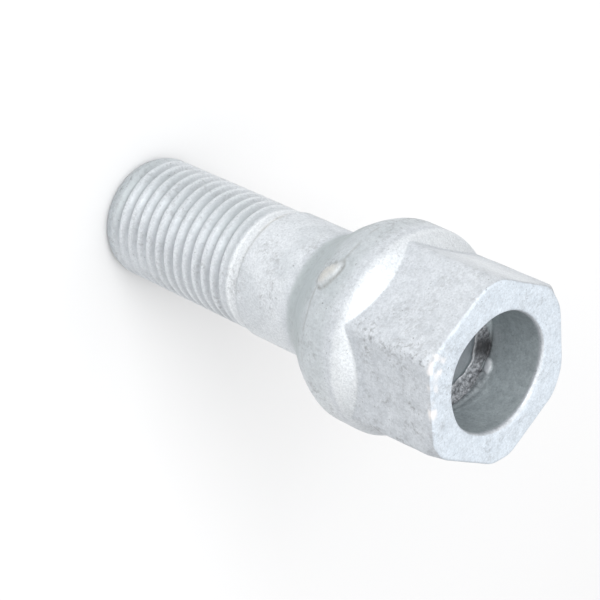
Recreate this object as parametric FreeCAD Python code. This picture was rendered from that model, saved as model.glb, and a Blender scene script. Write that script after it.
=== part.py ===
import FreeCAD, Part
import math
import os

os.makedirs("parts", exist_ok=True)

# Driving sizes, in millimetres and degrees, from the tip up.
tip_dia = 12.4
tip_chamfer = 1.25
thread_dia = 13.75
thread_length = 20.4
runout_length = 1.8
shank_dia = 14.25
shank_shoulder = 0.6
shank_length = 8.9
neck_fillet = 1.1
seat_rise = 0.5
collar_round = 3.0
collar_overhang = 0.46
collar_land = 3.1
shoulder_round = 1.0
shoulder_angle = 45.0
shoulder_fillet = 0.7
across_flats = 19.0
corner_round = 1.5
hex_length = 10.2
end_round = 0.6

# Driving sizes of the hollow in the head.
hollow_dia = 13.0
hollow_draft = 2.0
hollow_depth = 6.8
hollow_lip = 0.45
bore_dia = 9.0
bore_length = 6.2
bore_point_angle = 118.0

# Radii that follow from them.
tip_r = tip_dia / 2
thread_r = thread_dia / 2
shank_r = shank_dia / 2
flat_r = across_flats / 2
corner_centre_r = (flat_r - corner_round) / math.cos(math.radians(30))
corner_r = corner_centre_r + corner_round
collar_r = corner_r + collar_overhang
seat_r = collar_r + seat_rise
hollow_r = hollow_dia / 2
bore_r = bore_dia / 2

Z_AXIS = FreeCAD.Vector(0, 0, 1)
ORIGIN = FreeCAD.Vector(0, 0, 0)
tiny = 0.001


def at(point):
    """Point of the half section: (height, distance from the axis)."""
    return FreeCAD.Vector(point[1], 0, point[0])


def line(p, q):
    return Part.makeLine(at(p), at(q))


def arc(p, middle, q):
    return Part.Arc(at(p), at(middle), at(q)).toShape()


def on_circle(centre, radius, angle):
    return (centre[0] + radius * math.cos(angle), centre[1] + radius * math.sin(angle))


def turned(edges):
    """Solid turned about the bolt's axis from a closed half section."""
    face = Part.Face(Part.Wire(edges))
    return face.revolve(ORIGIN, Z_AXIS, 360)


def edges_between(shape, low, high, inner, outer):
    """Edges within a stretch of height whose middles lie in a range of radius."""
    found = []
    for edge in shape.Edges:
        if edge.Degenerated:
            continue
        step = (edge.LastParameter - edge.FirstParameter) / 8
        points = [edge.valueAt(edge.FirstParameter + step * i) for i in range(9)]
        middle = math.hypot(points[4].x, points[4].y)
        inside = all(low < p.z < high for p in points)
        if inside and inner < middle < outer:
            found.append(edge)
    return found


# Thread blank and shank.
shank_start = thread_length + runout_length
shank_top = (shank_start + shank_length, shank_r)

# Ball seat, joined to the shank by a concave fillet.
neck = (shank_top[0], shank_r + neck_fillet)
seat_reach = math.sqrt((seat_r + neck_fillet) ** 2 - neck[1] ** 2)
seat = (neck[0] + seat_reach, 0.0)
neck_angle = math.atan2(neck[1] - seat[1], neck[0] - seat[0])
neck_end = on_circle(seat, seat_r, neck_angle)
neck_middle = on_circle(neck, neck_fillet, (neck_angle - math.pi * 3 / 2) / 2)

# Collar's rim, rounded into the seat.
rim_r = collar_r - collar_round
rim = (seat[0] - math.sqrt((seat_r - collar_round) ** 2 - rim_r ** 2), rim_r)
rim_angle = math.atan2(rim[1] - seat[1], rim[0] - seat[0])
rim_start = on_circle(seat, seat_r, rim_angle)
rim_middle = on_circle(rim, collar_round, (rim_angle + math.pi / 2) / 2)
rim_end = (rim[0], collar_r)
seat_middle = on_circle(seat, seat_r, (neck_angle + rim_angle) / 2)

# Sloping shoulder from the rim to the hexagon.
slope = math.radians(shoulder_angle)
shoulder = (rim[0] + collar_land, collar_r - shoulder_round)
shoulder_start = (shoulder[0], collar_r)
shoulder_middle = on_circle(shoulder, shoulder_round, math.pi / 2 - slope / 2)
shoulder_end = on_circle(shoulder, shoulder_round, math.pi / 2 - slope)
shoulder_foot = shoulder_end[0] + (shoulder_end[1] - flat_r) / math.tan(slope)
core_r = (flat_r + hollow_r) / 2
core_top = shoulder_foot + (flat_r - core_r) / math.tan(slope)
head_end = shoulder_foot + hex_length

# Everything below the hexagon is one turned shape.
body = turned([
    line((0, 0), (0, tip_r)),
    line((0, tip_r), (tip_chamfer, thread_r)),
    line((tip_chamfer, thread_r), (shank_start, thread_r)),
    line((shank_start, thread_r), (shank_start + shank_shoulder, shank_r)),
    line((shank_start + shank_shoulder, shank_r), shank_top),
    arc(shank_top, neck_middle, neck_end),
    arc(neck_end, seat_middle, rim_start),
    arc(rim_start, rim_middle, rim_end),
    line(rim_end, shoulder_start),
    arc(shoulder_start, shoulder_middle, shoulder_end),
    line(shoulder_end, (core_top, core_r)),
    line((core_top, core_r), (core_top, 0)),
    line((core_top, 0), (0, 0)),
])

# Hexagon with round corners, two of them on the X axis.
half = math.radians(30)
corners = []
for k in range(6):
    direction = math.radians(60 * k)
    centre = on_circle((0, 0), corner_centre_r, direction)
    turns = [on_circle(centre, corner_round, direction + a) for a in (-half, 0, half)]
    corners.append([FreeCAD.Vector(x, y, rim[0]) for x, y in turns])
hex_edges = []
for k in range(6):
    hex_edges.append(Part.Arc(*corners[k]).toShape())
    hex_edges.append(Part.makeLine(corners[k][2], corners[(k + 1) % 6][0]))
hex_face = Part.Face(Part.Wire(hex_edges))
hexagon = hex_face.extrude(Z_AXIS * (head_end - rim[0]))
bolt = body.fuse(hexagon).removeSplitter()

# The hexagon runs softly into the shoulder, and its end edge is eased.
foot_edges = edges_between(bolt, shoulder_start[0], core_top, flat_r - tiny, corner_r + tiny)
bolt = bolt.makeFillet(shoulder_fillet, foot_edges)
end_edges = edges_between(bolt, head_end - tiny, head_end + tiny, core_r, collar_r)
bolt = bolt.makeFillet(end_round, end_edges)

# Stepped hollow in the head, with a rounded mouth.
ledge = head_end - hollow_depth
ledge_r = hollow_r - hollow_depth * math.tan(math.radians(hollow_draft))
bore_end = ledge - bore_length
bore_point = bore_end - bore_r / math.tan(math.radians(bore_point_angle / 2))
hollow = turned([
    line((bore_point, 0), (bore_end, bore_r)),
    line((bore_end, bore_r), (ledge, bore_r)),
    line((ledge, bore_r), (ledge, ledge_r)),
    line((ledge, ledge_r), (head_end, hollow_r)),
    line((head_end, hollow_r), (head_end, 0)),
    line((head_end, 0), (bore_point, 0)),
])
bolt = bolt.cut(hollow)
lip_edges = edges_between(bolt, head_end - tiny, head_end + tiny, hollow_r - tiny, hollow_r + tiny)
bolt = bolt.makeFillet(hollow_lip, lip_edges)

bolt.exportStep("parts/wheel_bolt.step")
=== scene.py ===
import bpy
import math
import numpy as np
from mathutils import Matrix, Vector


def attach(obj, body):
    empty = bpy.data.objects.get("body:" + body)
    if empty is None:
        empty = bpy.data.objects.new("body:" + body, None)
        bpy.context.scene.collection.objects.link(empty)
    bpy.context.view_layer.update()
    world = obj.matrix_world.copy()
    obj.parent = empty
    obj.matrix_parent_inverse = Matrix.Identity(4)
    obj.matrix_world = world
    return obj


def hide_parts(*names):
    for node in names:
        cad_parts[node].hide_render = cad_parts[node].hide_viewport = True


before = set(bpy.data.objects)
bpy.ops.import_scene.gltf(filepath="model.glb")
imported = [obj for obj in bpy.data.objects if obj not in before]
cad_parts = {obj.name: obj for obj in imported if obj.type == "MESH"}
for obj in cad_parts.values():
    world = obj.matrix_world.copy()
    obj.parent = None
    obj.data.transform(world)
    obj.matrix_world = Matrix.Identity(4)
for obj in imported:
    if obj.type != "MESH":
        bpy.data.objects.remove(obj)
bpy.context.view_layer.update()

# Sizes of the bolt in millimetres; some roundings differ from the solid's
LENGTH = 53.41
THREAD_R = 6.875
TIP_R = 6.2
TIP_EASE = 1.7
TIP_EDGE = 0.2
PITCH = 1.5
THREAD_DEPTH = 0.44
THREAD_START = 1.7
THREAD_END = 20.4
SHANK_START = 22.2
SHANK_R = 7.125
SEAT_R = 11.6976
SEAT_X = 40.9045
NECK_FILLET = 3.2
COLLAR_R = 11.1976
COLLAR_ROUND = 3.0
SHOULDER_X = 43.21
SHOULDER_ROUND = 1.7
SHOULDER_BLEND = 0.2
FLAT_R = 9.5
CORNER_ROUND = 0.75
CORNER_CAP = 10.9
CORNER_BLEND = 0.3
CORNER_WEAR = 0.62
ONE_SIDE_WEAR = 0.3
END_ROUND = 0.34
MOUTH_R = 6.5
LIP = 0.45
DRAFT = math.tan(math.radians(2.0))
RECESS_DEPTH = 6.8
LEDGE_SLOPE = 0.25
BORE_R = 4.5
BORE_DEPTH = 13.0
BORE_POINT = BORE_R / math.tan(math.radians(59.0))

# The run of coat on the ball seat
DRIP_LENGTH = 1.8
DRIP_WIDTH = 0.86
DRIP_TAPER = 0.32
DRIP_HEIGHT = 0.42
DRIP_RIM_LENGTH = 1.95
DRIP_RIM_WIDTH = 1.0

# Stretches along the axis: start, fully in, starting to end, ended
THREAD_SPAN = (1.0, 2.0, 20.0, 20.5)
RUNOUT_SPAN = (20.6, 21.0, 21.9, 22.2)
SHANK_SPAN = (22.2, 22.8, 29.0, 30.3)
SHANK_TO_SEAT_SPAN = (22.5, 23.0, 40.0, 41.0)
NECK_TO_SEAT_SPAN = (29.9, 30.7, 39.0, 40.5)
SEAT_SPAN = (34.5, 36.0, 39.0, 40.5)
SEAT_SIDES_SPAN = (35.0, 36.0, 40.0, 41.0)
CORNER_SPAN = (43.6, 44.6, 52.9, 53.2)
DIRTY_FLAT_SPAN = (43.6, 45.0, 50.0, 53.0)
PAINTED_LIT_FLAT_SPAN = (43.5, 44.0, 53.0, 53.2)

# Sides of the bolt that are painted lighter as if lit: middle and half width in degrees
LOW_SIDE = (212, 32)
HIGH_SIDE = (55, 32)

# The bolt's own frame: x up its axis from the tip, a hexagon corner along z
FACING = math.radians(150)
ex = np.array([0.0, 0.0, 1.0])
ey = np.array([math.cos(FACING), math.sin(FACING), 0.0])
ez = np.cross(ex, ey)
turn = np.stack([ex, ey, ez], axis=1)


def to_world(points):
    """Points in the bolt's frame, in millimetres, as world points in metres."""
    return points @ turn.T / 1000


# Smooth random fields over space
LATTICE_SIZE = 32
LATTICE = np.random.RandomState(11).rand(LATTICE_SIZE, LATTICE_SIZE, LATTICE_SIZE)
SEED_STEP = np.array([7.3, 3.1, 5.7])


def field(points, scale, seed):
    """Smooth noise from -1 to 1 with the given wavelength in millimetres."""
    q = points / scale + SEED_STEP * (seed + 1)
    base = np.floor(q).astype(int)
    f = q - base
    f = f * f * f * (f * (f * 6 - 15) + 10)
    total = np.zeros(points.shape[:-1])
    for step in np.ndindex(2, 2, 2):
        weight = np.prod(np.where(step, f, 1 - f), axis=-1)
        cell = (base + step) % LATTICE_SIZE
        total += weight * LATTICE[cell[..., 0], cell[..., 1], cell[..., 2]]
    return total * 2 - 1


def smooth(x, low, high):
    """A soft step from 0 at low to 1 at high."""
    t = np.clip((x - low) / (high - low), 0, 1)
    return t * t * (3 - 2 * t)


def smooth_max(a, b, k):
    """The larger of a and b, blended where they differ by less than k."""
    h = np.clip(k - np.abs(a - b), 0, None) / k
    return np.maximum(a, b) + h * h * k / 4


def zone(x, start, full, ease, end):
    """1 between full and ease, falling softly to 0 at start and end."""
    return smooth(x, start, full) * (1 - smooth(x, ease, end))


def bell(x, centre, width):
    """A bell curve of height 1."""
    return np.exp(-((x - centre) / width) ** 2)


def hump(degrees, centre, width):
    """A bell curve round the axis."""
    return bell((degrees - centre + 180) % 360 - 180, 0, width)


def half_circle(x, centre, r):
    """Height at x of a circle of radius r above its middle."""
    return np.sqrt(np.clip(r ** 2 - (x - centre) ** 2, 0, None))


# Centres and ends of the curves in the turned outline
neck_x = SEAT_X - math.sqrt((SEAT_R + NECK_FILLET) ** 2 - (SHANK_R + NECK_FILLET) ** 2)
neck_r = SHANK_R + NECK_FILLET
neck_end = SEAT_X + (neck_x - SEAT_X) * SEAT_R / (SEAT_R + NECK_FILLET)
rim_x = SEAT_X - math.sqrt((SEAT_R - COLLAR_ROUND) ** 2 - (COLLAR_R - COLLAR_ROUND) ** 2)
rim_r = COLLAR_R - COLLAR_ROUND
rim_start = SEAT_X + (rim_x - SEAT_X) * SEAT_R / (SEAT_R - COLLAR_ROUND)
slope_x = SHOULDER_X - (COLLAR_R - FLAT_R)
arc_x = slope_x - SHOULDER_ROUND * math.tan(math.radians(22.5))
arc_r = COLLAR_R - SHOULDER_ROUND
arc_end = arc_x + SHOULDER_ROUND * math.sin(math.radians(45))


def turned_radius(x):
    """Radius of the turned form, without thread and hexagon."""
    r = np.full_like(x, THREAD_R)
    r = r - (THREAD_R - TIP_R) * np.clip(1 - x / TIP_EASE, 0, 1) ** 2
    r = r + (SHANK_R - THREAD_R) * smooth(x, SHANK_START - 0.05, SHANK_START + 0.35)
    r = np.where(x > neck_x, neck_r - half_circle(x, neck_x, NECK_FILLET), r)
    r = np.where(x > neck_end, half_circle(x, SEAT_X, SEAT_R), r)
    r = np.where(x > rim_start, rim_r + half_circle(x, rim_x, COLLAR_ROUND), r)
    r = np.where(x > rim_x, COLLAR_R, r)
    r = np.where(x > arc_x, arc_r + half_circle(x, arc_x, SHOULDER_ROUND), r)
    return np.where(x > arc_end, COLLAR_R - (x - slope_x), r)


def hex_radius(angle):
    """Radius of the hexagon with round corners, a corner at 90 degrees."""
    sixth = math.pi / 3
    from_flat = np.abs((angle - sixth / 2) % sixth - sixth / 2)
    from_corner = sixth / 2 - from_flat
    centre = (FLAT_R - CORNER_ROUND) / math.cos(sixth / 2)
    corner = centre * np.cos(from_corner) + half_circle(centre * np.sin(from_corner), 0, CORNER_ROUND)
    change = math.atan2(centre * 0.5, FLAT_R)
    return np.where(from_flat < change, FLAT_R / np.cos(from_flat), corner)


def head_radius(x, angle):
    """The hexagon, its corners worn rounder towards the head's end."""
    wear = CORNER_WEAR + ONE_SIDE_WEAR * hump(np.degrees(angle), 0, 45)
    cap = CORNER_CAP - wear * smooth(x, LENGTH - 1.5, LENGTH - 0.2)
    return -smooth_max(-hex_radius(angle), -cap, CORNER_BLEND)


def thread_phase(x, angle):
    """Place in one turn of the right-hand thread: 0 in the groove, 0.5 on the crest."""
    return ((x - THREAD_START) / PITCH - angle / (2 * math.pi)) % 1


def thread_fade(x, angle):
    """The thread fades at both ends and is shallower on two sides."""
    degrees = np.degrees(angle)
    fade = zone(x, 1.0, 2.5, THREAD_END - 1.3, THREAD_END + 0.35)
    low = (0.8 - 0.35 * smooth(x, 5, 11)) * hump(degrees, 200, 32)
    return fade * (1 - low - 0.65 * hump(degrees, 55, 26))


def thread_cut(x, angle):
    """Depth of the thread below the blank."""
    groove_floor, crest_start = 0.08, 0.78
    w = 1 - 2 * np.abs(thread_phase(x, angle) - 0.5)
    t = np.clip((w - groove_floor) / (crest_start - groove_floor), 0, 1)
    t = 0.4 * t + 0.6 * t * t * (3 - 2 * t)
    return THREAD_DEPTH * (1 - t) * thread_fade(x, angle)


def mouth_radius(angle):
    """The hollow's mouth is not quite round."""
    r = MOUTH_R
    for height, waves, degrees in ((0.07, 2, 10), (0.06, 3, 150), (0.06, 5, 75)):
        r = r + height * np.cos(waves * (angle - math.radians(degrees)))
    return r


def lip_width(angle):
    """The mouth's rounding is wider on one side."""
    return LIP - 0.15 + 0.6 * hump(np.degrees(angle), -45, 60)


def bore_edge(angle):
    """The torn inner edge of the ledge."""
    r = BORE_R - 0.22 + 0.16 * np.cos(3 * (angle + 1.2))
    return r + 0.1 * np.sin(7 * angle + 0.6) + 0.05 * np.sin(16 * angle)


# Rows of points from the tip's middle to the bottom of the hollow
COLUMNS = 264
SQUEEZE = 0.6
LEDGE_ROWS = 16
THREAD_ROWS_END = 24
HEAD_ROWS_START = 40
base_angle = np.arange(COLUMNS) * 2 * math.pi / COLUMNS
rows = []


def row_angles(squeeze):
    """Angles of one row; squeeze gathers them at the hexagon's corners."""
    return base_angle - squeeze * np.sin(6 * (base_angle - math.pi / 2)) / 6


def add_row(x, r, angle=base_angle):
    """Adds one ring of points round the axis."""
    rows.append(np.stack([np.full(COLUMNS, x), r * np.cos(angle), r * np.sin(angle)], axis=1))


def steps(*spans):
    """Positions along the axis: start, end and step of each span."""
    return np.concatenate([np.arange(*span) for span in spans])


# The tip's face
for r in (1.2, 2.6, 4.0, 5.2, 5.8):
    add_row(0.02, r)
add_row(0.0, 6.02)

# The outside, its rows closest together where the form turns or the thread runs
outside_x = steps(
    (0.06, 0.15, 0.08), (0.25, 21.1, 0.145), (21.3, 22.0, 0.25), (22.05, 23.1, 0.12),
    (23.5, 29.4, 0.65), (29.5, 33.0, 0.24), (33.1, 35.7, 0.3), (35.8, 38.9, 0.14),
    (39.2, 40.6, 0.4), (40.7, 44.7, 0.13), (45.0, LENGTH - END_ROUND - 0.1, 0.34))
for x in outside_x:
    angle = row_angles(SQUEEZE * smooth(x, 33.0, 36.0))
    r = turned_radius(np.full(COLUMNS, x))
    if x < THREAD_ROWS_END:
        r = r - thread_cut(x, angle) - 2.0 * max(TIP_EDGE - x, 0) ** 2
    elif x >= HEAD_ROWS_START:
        r = smooth_max(r, head_radius(x, angle), SHOULDER_BLEND)
    add_row(x, r, angle)

# The head's end: its rounded edge, its face and the lip of the hollow
head_angle = row_angles(SQUEEZE)
head_edge = head_radius(LENGTH, head_angle) - END_ROUND
for a in np.radians(np.arange(0, 91, 11.25)):
    add_row(LENGTH - END_ROUND + END_ROUND * math.sin(a), head_edge + END_ROUND * math.cos(a), head_angle)
for t in np.linspace(0, 1, 10)[1:]:
    angle = row_angles(SQUEEZE * (1 - t))
    lip_edge = mouth_radius(angle) + lip_width(angle)
    add_row(LENGTH, (head_radius(LENGTH, angle) - END_ROUND) * (1 - t) + lip_edge * t, angle)
mouth = mouth_radius(base_angle)
lip = lip_width(base_angle)
for b in np.radians(np.arange(13, 91, 11)):
    add_row(LENGTH - LIP + LIP * math.cos(b), mouth + lip * (1 - math.sin(b)))
add_row(LENGTH - LIP - 0.02, mouth)

# The hollow: its wall, the ledge and the bore with its drill point
floor_x = LENGTH - RECESS_DEPTH
floor_r = MOUTH_R - RECESS_DEPTH * DRAFT
bore_x = LENGTH - BORE_DEPTH
first_inside = len(rows)
for x in steps((LENGTH - LIP - 0.25, floor_x + 2.3, -0.4), (floor_x + 2.3, floor_x + 0.05, -0.16)):
    ease = (LENGTH - x) / RECESS_DEPTH
    add_row(x, mouth * (1 - ease) + MOUTH_R * ease - (LENGTH - x) * DRAFT)
ledge_outer = floor_r - 0.1
ledge_inner = bore_edge(base_angle)
first_ledge = len(rows)
for t in np.linspace(0, 1, LEDGE_ROWS):
    add_row(floor_x - LEDGE_SLOPE * t, ledge_outer + (ledge_inner - ledge_outer) * t)
first_bore = len(rows)
add_row(floor_x - 0.36, ledge_inner + 0.02)
for x in steps((floor_x - 0.45, floor_x - 2.5, -0.25), (floor_x - 3.0, bore_x, -0.6)):
    add_row(x, BORE_R)
for t in np.linspace(0, 0.85, 6):
    add_row(bore_x - BORE_POINT * t, BORE_R * (1 - t))

grid = np.stack(rows)
count = len(grid)


def grid_normals(points):
    """Directions away from the metal at each point of the grid."""
    along = np.gradient(points, axis=0)
    around = np.roll(points, -1, axis=1) - np.roll(points, 1, axis=1)
    n = np.cross(around, along)
    return n / np.maximum(np.linalg.norm(n, axis=2, keepdims=True), 1e-9)


# Where each point lies
gx = grid[..., 0]
radius = np.hypot(grid[..., 1], grid[..., 2])
angle = np.arctan2(grid[..., 2], grid[..., 1])
degrees = np.degrees(angle)
depth_in = LENGTH - gx
index = np.arange(count)[:, None] * np.ones((1, COLUMNS))
inside = (index >= first_inside).astype(float)
outside = 1 - inside
wall = inside * (index < first_ledge)

# Forging waviness and the coat's small lumps
lift = 0.035 * field(grid, 4.5, 1) + 0.018 * field(grid, 1.6, 2) + 0.008 * field(grid, 0.7, 3)
lift = lift * (0.45 + 0.55 * smooth(gx, 20, 30)) * (1 - inside * 0.6)


def surface_point(x, r, at):
    """A point at x and r, turned by at degrees about the axis."""
    return np.array([x, r * math.cos(math.radians(at)), r * math.sin(math.radians(at))])


def drip_ends(length):
    """Falls off along the run of coat: bluntly at its lower end."""
    return np.where(drip_u < 0, np.abs(drip_u / length) ** 3, (drip_u / length) ** 2)


# A run of coat standing proud on the ball seat
drip_mid = surface_point(37.3, 11.15, 128.3)
drip_dir = surface_point(38.0, 11.25, 121.8) - surface_point(36.5, 10.85, 134.0)
drip_dir = drip_dir / np.linalg.norm(drip_dir)
away = grid - drip_mid
drip_u = away @ drip_dir
drip_v = np.linalg.norm(away - drip_u[..., None] * drip_dir, axis=2)
drip_taper = DRIP_TAPER * drip_u / DRIP_LENGTH
drip = 1 - drip_ends(DRIP_LENGTH) - (drip_v / (DRIP_WIDTH - drip_taper)) ** 2
drip = outside * np.clip(drip + 0.22 * field(grid, 0.9, 22), 0, 1)
lift = lift + DRIP_HEIGHT * np.sqrt(drip)

# Torn ledge in the hollow, narrow on one side
reach = floor_r + 0.3 - 1.1 * hump(degrees, 12, 24) - 0.55 * hump(degrees, -38, 5)
reach = reach + 0.25 * field(grid, 1.0, 5)
climb = inside * smooth(depth_in, RECESS_DEPTH - 0.45, RECESS_DEPTH - 0.1) * (index < first_bore)
ledge = climb * smooth(reach - radius, -0.15, 0.2)
lift = lift + ledge * (0.10 * np.abs(field(grid, 0.75, 6)) + 0.09 * field(grid, 0.36, 7))
# A painted highlight along the ledge's torn inner edge
torn_edge_highlight = np.clip(1 - np.abs(index - (first_bore - 1.4)) / 2.0, 0, 1)
torn_edge_highlight = torn_edge_highlight * (0.35 + 0.65 * smooth(field(grid, 1.3, 12), -0.3, 0.3))

# The foot of the hollow's wall: rough, wrinkled and pushed in
rough_wall = wall * smooth(depth_in, RECESS_DEPTH - 2.2, RECESS_DEPTH - 0.3) * hump(degrees, -58, 32)
lift = lift + rough_wall * (0.05 * np.abs(field(grid, 0.6, 16)) + 0.05 * field(grid, 0.3, 17))
near = wall * smooth(depth_in, RECESS_DEPTH - 2.4, RECESS_DEPTH - 0.6)
wrinkle = np.sin(depth_in * 7.5 + degrees * 0.09 + 2.0 * field(grid, 1.4, 10))
wrinkle = 0.07 * hump(degrees, -85, 30) * wrinkle
lift = lift + near * (0.03 * field(grid, 1.1, 8) + 0.02 * field(grid, 0.5, 9) + wrinkle)
foot = wall * smooth(depth_in, RECESS_DEPTH - 2.6, RECESS_DEPTH - 0.2) * hump(degrees, -57, 14)
lift = lift + foot * (0.3 + 0.1 * field(grid, 0.7, 26))

# A small fold of metal over the ledge, and a painted highlight beside it
fold_at = degrees + 38
fold = 1 - ((depth_in - 6.15 - fold_at * 0.03) / 0.5) ** 2 - (fold_at / 8.0) ** 2
fold = wall * np.clip(fold, 0, 1)
smear_highlight = wall * bell(depth_in, 6.0, 0.55) * bell(degrees, -8, 9)
lift = lift + 0.22 * np.sqrt(fold)

points = grid + grid_normals(grid) * lift[..., None]
points[..., 0] = np.maximum(points[..., 0], 0)

# One closed skin over the rows, with a point at each end
tip_point = np.array([[0.03, 0.0, 0.0]])
bore_end = np.array([[bore_x - BORE_POINT, 0.0, 0.0]])
verts = to_world(np.concatenate([tip_point, points.reshape(-1, 3), bore_end]))
last = len(verts) - 1
after = [(j + 1) % COLUMNS for j in range(COLUMNS)]
faces = [(0, 1 + after[j], 1 + j) for j in range(COLUMNS)]
for i in range(count - 1):
    a = 1 + i * COLUMNS
    b = a + COLUMNS
    faces += [(a + j, a + after[j], b + after[j], b + j) for j in range(COLUMNS)]
a = 1 + (count - 1) * COLUMNS
faces += [(a + j, a + after[j], last) for j in range(COLUMNS)]

mesh = bpy.data.meshes.new("wheel_bolt_skin")
mesh.from_pydata(verts.tolist(), [], faces)
mesh.polygons.foreach_set("use_smooth", [True] * len(mesh.polygons))
bolt = bpy.data.objects.new("wheel_bolt_skin", mesh)
bpy.context.scene.collection.objects.link(bolt)

# Parts of the surface that differ in tone, among them places of painted light
low_side = outside * hump(degrees, *LOW_SIDE)
high_side = outside * hump(degrees, *HIGH_SIDE)
thread_zone = outside * zone(gx, *THREAD_SPAN)
runout_zone = outside * zone(gx, *RUNOUT_SPAN)
shank_zone = outside * zone(gx, *SHANK_SPAN)
hex_r = hex_radius(angle)
shoulder = outside * smooth(gx, 40.6, 41.5) * (gx < 44)
shoulder = shoulder * smooth(turned_radius(gx) - hex_r, -0.02, 0.08)
# A flat painted lighter as if lit: painted light
painted_lit_flat = outside * zone(gx, *PAINTED_LIT_FLAT_SPAN) * hump(degrees, 60, 24)
# A painted highlight along the run-out's edge
painted_edge_highlight = outside * bell(gx, 20.8, 0.28) * (0.4 + 0.6 * hump(degrees, 165, 40))
patches = smooth(field(grid, 3.6, 20) + 0.5 * field(grid, 1.5, 21), 0.1, 0.6)
before_collar = outside * (1 - smooth(gx, 40, 41))

# Painted light on the thread: a painted highlight on the crests and painted shade on the flanks towards
# the groove
phase = thread_phase(gx, angle)
fade = thread_fade(gx, angle)
flank_shade = smooth(phase, 0.55, 0.88) - 0.2 * smooth(phase, 0.92, 1.0)
flank_shade = np.maximum(flank_shade, 0.8 * (1 - smooth(phase, 0.0, 0.25)))
crest_highlight = zone(phase, 0.1, 0.42, 0.46, 0.86) * (1 - 0.4 * hump(degrees, 108, 35))

# Cream tint on the run-out's edge and the run of coat
cream_band = outside * zone(gx, THREAD_END - 0.3, THREAD_END + 0.5, SHANK_START - 0.1, SHANK_START + 0.5)
cream_edge = outside * bell(gx, 22.25, 0.35) * hump(degrees, 95, 35)
cream_edge = cream_edge * smooth(field(grid, 1.2, 19), -0.3, 0.3)

# Dark line round the run of coat, and a broken one round the ball seat
rim_v = np.sqrt(np.clip(1 - drip_ends(DRIP_RIM_LENGTH), 0, 1)) * (DRIP_RIM_WIDTH - drip_taper)
rim = outside * np.clip(1 - np.abs(rim_v - drip_v) / 0.3, 0, 1) * (np.abs(drip_u) < 2.0)
rim = rim * (1 - smooth(drip, 0.1, 0.5))
wander = field(grid, 2.0, 23)
seam_x = 36.4 + 1.4 * smooth(-degrees, -134, -118) + 0.2 * wander
seam = outside * bell(gx, seam_x, 0.13) * smooth(field(grid, 1.6, 24), -0.35, 0.25)
seam = seam * np.clip(hump(degrees, 90, 45) + hump(degrees, 165, 40), 0, 1)
seam = seam * (1 - smooth(drip, 0.0, 0.1))

# Painted light and paler coat: painted highlights on the shoulder, the run-out's edge and the crests; a
# flat, the sides and partly the shank painted lighter as if lit; paler coat on the shank and the run-out
painted_light_and_pale_coat = shoulder * (0.42 + 0.4 * hump(degrees, 182, 30) + 0.3 * hump(degrees, 60, 30))
for weight, part in (
        (0.85, painted_edge_highlight), (0.36, shank_zone), (0.06, thread_zone), (0.55, runout_zone),
        (0.6, painted_lit_flat), (0.35, low_side * zone(gx, *SHANK_TO_SEAT_SPAN)),
        (0.42, high_side * thread_zone), (0.22, low_side * thread_zone),
        (0.5, thread_zone * crest_highlight * fade),
        (0.2, low_side * zone(gx, *SEAT_SIDES_SPAN)), (0.3, high_side * zone(gx, *SEAT_SIDES_SPAN))):
    painted_light_and_pale_coat = painted_light_and_pale_coat + weight * part
painted_light_and_pale_coat = painted_light_and_pale_coat * (1 - 0.5 * patches * shank_zone)

# Painted shade at the neck, on the ball seat and on one side of the thread; the tip and random patches
# before the collar are darker too
seat_shade = 0.86 - 0.44 * smooth(gx + 0.35 * wander, 35.0, 36.4)
painted_shade_and_patches = outside * zone(gx, *NECK_TO_SEAT_SPAN) * seat_shade * (1 - 0.8 * smooth(drip, 0.0, 0.2))
for weight, part in (
        (0.3, thread_zone * hump(degrees, 112, 32)), (0.36, outside * (1 - smooth(gx, 1.6, 2.8))),
        (0.13, before_collar * patches)):
    painted_shade_and_patches = painted_shade_and_patches + weight * part

# Smudged places, and painted shade in the neck's crease
corner = outside * smooth(hex_r, 10.5, 10.78) * zone(gx, *CORNER_SPAN)
dirty_flat = outside * zone(gx, *DIRTY_FLAT_SPAN) * hump(degrees, 175, 26)
dirt_and_crease_shade = 0.7 * corner * (0.35 + 0.65 * hump(degrees, 150, 20))
for weight, part in (
        (1.0, dirty_flat * smooth(field(grid, 1.3, 15), 0.0, 0.45)),
        (0.4, outside * bell(gx, 8.3, 1.1) * hump(degrees, 122, 22)),
        (0.5, outside * (1 - smooth(gx, 1.2, 2.6)) * (radius > 6)),
        # painted shade: dark specks in the neck's crease
        (0.35, outside * bell(gx, 31.3, 0.6)), (0.25, outside * zone(gx, *SEAT_SPAN)),
        (0.42, outside * smooth(field(grid, 2.2, 18), -0.1, 0.5) * (1 - 0.6 * shoulder))):
    dirt_and_crease_shade = dirt_and_crease_shade + weight * part

# Chips at the corner of the head's end
chip = outside * smooth(gx, 52.85, 53.15) * smooth(radius, 8.6, 9.0) ** 2
chip = chip * np.maximum.reduce([hump(degrees, 151, 7), hump(degrees, 168, 5), hump(degrees, 181, 4)])
chip = chip * smooth(field(grid, 0.6, 14), -0.2, 0.25)

masks = {
    "inside": inside,
    "ledge": ledge + 0.42 * rough_wall + 0.22 * foot,
    "painted_groove_shade": outside * flank_shade * fade,
    "pale": 0.1 * cream_band + 0.7 * cream_edge + 1.2 * drip,
    # darker towards one end of the ledge
    "dark_ledge_end": climb * hump(degrees, -20, 17),
    # painted highlights on the torn edge, on the fold and beside it, and painted light in the bore
    "painted_light_inside": torn_edge_highlight + 2.2 * fold + 0.3 * smear_highlight + 0.6 * (index > first_bore + 1),
    "painted_light_and_pale_coat": painted_light_and_pale_coat,
    "painted_shade_and_patches": painted_shade_and_patches,
    "end_face": outside * (gx > LENGTH - 0.1),
    "dirt_and_crease_shade": dirt_and_crease_shade,
    "outline": np.maximum(0.7 * rim, 0.42 * seam),
    "chip": chip,
}
for name, values in masks.items():
    values = np.clip(values, 0, 1)
    layer = mesh.attributes.new(name, "FLOAT", "POINT")
    full = np.concatenate([[values[0].mean()], values.reshape(-1), [values[-1].mean()]])
    layer.data.foreach_set("value", full.astype(np.float32))


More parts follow.
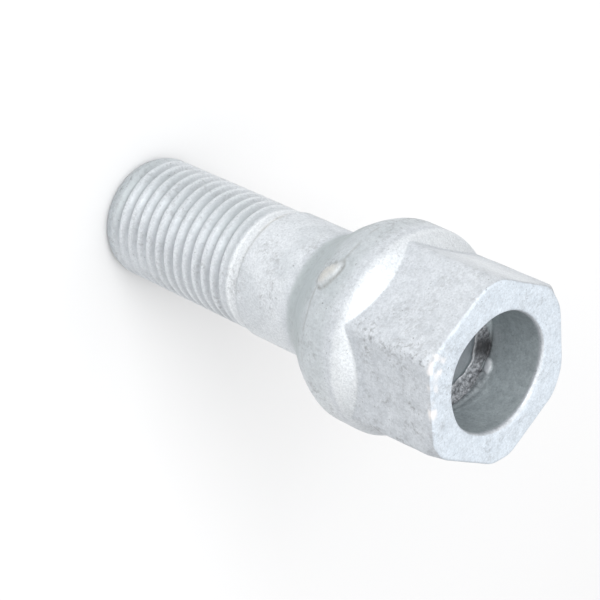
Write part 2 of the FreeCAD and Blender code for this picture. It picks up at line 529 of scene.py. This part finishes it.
def zinc_material():
    """Zinc coat: layers of colour, each mixed over the ones before it, painted light and shade among
    them.
    """
    material = bpy.data.materials.new("zinc_coat")
    material.use_nodes = True
    tree = material.node_tree
    tree.nodes.clear()

    def feed(socket, value):
        if hasattr(value, "is_output"):
            tree.links.new(value, socket)
        else:
            socket.default_value = value

    def node(kind, inputs, **settings):
        n = tree.nodes.new(kind)
        for key, value in settings.items():
            setattr(n, key, value)
        for key, value in inputs.items():
            feed(n.inputs[key], value)
        return n

    place = node("ShaderNodeTexCoord", {}).outputs["Object"]

    def noise(scale, detail=4.0, rough=0.55):
        inputs = {"Vector": place, "Scale": scale, "Detail": detail, "Roughness": rough}
        return node("ShaderNodeTexNoise", inputs).outputs["Fac"]

    def ramp(source, low, high, a=0.0, b=1.0):
        inputs = {"Value": source, "From Min": low, "From Max": high, "To Min": a, "To Max": b}
        return node("ShaderNodeMapRange", inputs).outputs[0]

    def math_node(operation, a, b):
        return node("ShaderNodeMath", {0: a, 1: b}, operation=operation).outputs[0]

    def times(a, b):
        return math_node("MULTIPLY", a, b)

    def mix(strength, a, b):
        tints = {6: a, 7: b}
        for key, value in tints.items():
            if isinstance(value, tuple):
                tints[key] = value + (1.0,)
        return node("ShaderNodeMix", {0: strength, **tints}, data_type="RGBA").outputs[2]

    def mask(name, strength=1.0):
        fac = node("ShaderNodeAttribute", {}, attribute_name=name).outputs["Fac"]
        return fac if strength == 1.0 else times(fac, strength)

    scratches = times(ramp(noise(1300.0, 8.0, 0.78), 0.5, 0.68), mask("end_face"))
    specks = times(ramp(noise(1900.0, 7.0, 0.72), 0.49, 0.64), mask("dirt_and_crease_shade"))
    dots = times(ramp(noise(3600.0, 2.0), 0.67, 0.74), ramp(noise(300.0, 3.0), 0.42, 0.6))
    inner = mix(ramp(noise(1500.0, 6.0, 0.65), 0.35, 0.68), (0.34, 0.382, 0.40), (0.45, 0.50, 0.518))
    inner = mix(ramp(noise(3400.0, 4.0, 0.65), 0.45, 0.66, 0.0, 0.4), inner, (0.55, 0.60, 0.62))
    inner = mix(ramp(noise(4300.0, 3.0, 0.6), 0.52, 0.7, 0.0, 0.4), inner, (0.24, 0.27, 0.285))
    torn = mix(ramp(noise(2600.0, 6.0, 0.7), 0.42, 0.70), (0.13, 0.135, 0.145), (0.56, 0.58, 0.61))

    colour = (0.685, 0.715, 0.75)
    for strength, tint in (
            (ramp(noise(900.0, 8.0, 0.7), 0.38, 0.64), (0.58, 0.61, 0.645)),
            (ramp(noise(2300.0, 5.0, 0.7), 0.50, 0.72, 0.0, 0.5), (0.46, 0.485, 0.51)),
            (ramp(noise(3100.0, 3.0), 0.60, 0.78, 0.0, 0.6), (0.80, 0.83, 0.86)),
            (mask("pale", 0.8), (0.64, 0.61, 0.545)),
            # painted shade on the thread's flanks
            (mask("painted_groove_shade", 0.7), (0.34, 0.365, 0.39)),
            (ramp(noise(800.0, 8.0, 0.78), 0.52, 0.70, 0.0, 0.6), (0.40, 0.425, 0.45)),
            # painted shade, and random darker patches before the collar
            (mask("painted_shade_and_patches"), (0.42, 0.47, 0.475)),
            # painted light, and paler coat on the shank and the run-out
            (mask("painted_light_and_pale_coat"), (0.92, 0.95, 0.97)),
            # the end face painted lighter and bluish: painted light and a bluish tint
            (mask("end_face", 0.5), (0.76, 0.845, 0.93)),
            (times(scratches, 0.6), (0.48, 0.53, 0.58)),
            # dirt specks, with painted shade in the neck's crease
            (times(specks, 0.95), (0.24, 0.245, 0.25)),
            (ramp(noise(4600.0, 3.0, 0.65), 0.36, 0.66, 0.0, 0.42), (0.43, 0.46, 0.49)),
            (times(dots, 0.75), (0.20, 0.205, 0.21)),
            (mask("outline", 0.85), (0.22, 0.21, 0.19)),
            (mask("chip", 0.95), (0.92, 0.885, 0.875)),
            (mask("inside"), inner),
            (mask("ledge"), torn),
            # darker towards one end of the ledge
            (mask("dark_ledge_end", 0.95), (0.03, 0.03, 0.032)),
            # painted highlights in the hollow and painted light in the bore
            (mask("painted_light_inside", 0.85), (0.74, 0.76, 0.79))):
        colour = mix(strength, colour, tint)

    rough = ramp(noise(1100.0, 5.0), 0.3, 0.7, 0.48, 0.66)
    rough = math_node("ADD", rough, mask("end_face", 0.2))
    height = math_node("ADD", times(noise(1900.0, 5.0, 0.65), 0.6), times(noise(5200.0, 3.0), 0.4))
    bump = node("ShaderNodeBump", {"Strength": 0.5, "Distance": 0.00012, "Height": height})
    shader = node("ShaderNodeBsdfPrincipled", {
        "Base Color": colour, "Metallic": 0.5, "Roughness": rough, "Normal": bump.outputs[0]})
    node("ShaderNodeOutputMaterial", {"Surface": shader.outputs[0]})
    return material


mesh.materials.append(zinc_material())
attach(bolt, "root")
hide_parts("wheel_bolt")

# Floor
FLOOR_HALF = 3.0
floor_mesh = bpy.data.meshes.new("floor")
floor_corners = [(-FLOOR_HALF, -FLOOR_HALF, 0), (FLOOR_HALF, -FLOOR_HALF, 0),
                 (FLOOR_HALF, FLOOR_HALF, 0), (-FLOOR_HALF, FLOOR_HALF, 0)]
floor_mesh.from_pydata(floor_corners, [], [(0, 1, 2, 3)])
floor = bpy.data.objects.new("floor", floor_mesh)
bpy.context.scene.collection.objects.link(floor)
paper = bpy.data.materials.new("paper")
paper.use_nodes = True
paper_shader = paper.node_tree.nodes["Principled BSDF"]
paper_shader.inputs["Base Color"].default_value = (0.81, 0.81, 0.813, 1)
paper_shader.inputs["Roughness"].default_value = 0.9
paper_shader.inputs["Specular IOR Level"].default_value = 0.1
floor_mesh.materials.append(paper)

# World: even white light
world = bpy.data.worlds.new("studio")
bpy.context.scene.world = world
world.use_nodes = True
background = world.node_tree.nodes["Background"]
background.inputs["Color"].default_value = (1, 1, 1, 1)
background.inputs["Strength"].default_value = 0.36

# Two soft lamps, aimed near the bolt's middle
LAMP_DISTANCE = 0.6
LAMP_AIM = Vector((0.0, 0.0, 0.03))


def area_light(name, azimuth, elevation, size, power):
    """A round lamp at the given bearing from the origin."""
    a, e = math.radians(azimuth), math.radians(elevation)
    place = LAMP_DISTANCE * Vector((math.sin(a) * math.cos(e), -math.cos(a) * math.cos(e), math.sin(e)))
    data = bpy.data.lights.new(name, "AREA")
    data.shape = "DISK"
    data.size = size
    data.energy = power
    lamp = bpy.data.objects.new(name, data)
    bpy.context.scene.collection.objects.link(lamp)
    lamp.location = place
    lamp.rotation_euler = (LAMP_AIM - place).to_track_quat("-Z", "Y").to_euler()


area_light("key", azimuth=2, elevation=38, size=0.5, power=2.3)
area_light("top", azimuth=0, elevation=86, size=0.9, power=3.6)

# Camera where the photograph was taken from, in the bolt's frame
CAMERA_PLACE = np.array([205.59, -156.926, 134.478])
CAMERA_LOOK = np.array([-0.6565, 0.56874, -0.49557])
CAMERA_RIGHT = np.array([0.6836, 0.72625, -0.07197])
FOCAL_PIXELS = 2586.0
PICTURE_PIXELS = 600.0
SENSOR_WIDTH = 36.0
eye = to_world(CAMERA_PLACE)
look = turn @ (CAMERA_LOOK / np.linalg.norm(CAMERA_LOOK))
right = turn @ CAMERA_RIGHT
right = right - look * (right @ look)
right = right / np.linalg.norm(right)
up = np.cross(right, look)
camera_data = bpy.data.cameras.new("camera")
camera_data.sensor_width = SENSOR_WIDTH
camera_data.lens = FOCAL_PIXELS * SENSOR_WIDTH / PICTURE_PIXELS
camera_data.clip_start = 0.01
camera = bpy.data.objects.new("camera", camera_data)
bpy.context.scene.collection.objects.link(camera)
camera.matrix_world = Matrix((
    (right[0], up[0], -look[0], eye[0]),
    (right[1], up[1], -look[1], eye[1]),
    (right[2], up[2], -look[2], eye[2]),
    (0, 0, 0, 1)))
bpy.context.scene.camera = camera
bpy.context.scene.view_settings.view_transform = "Standard"
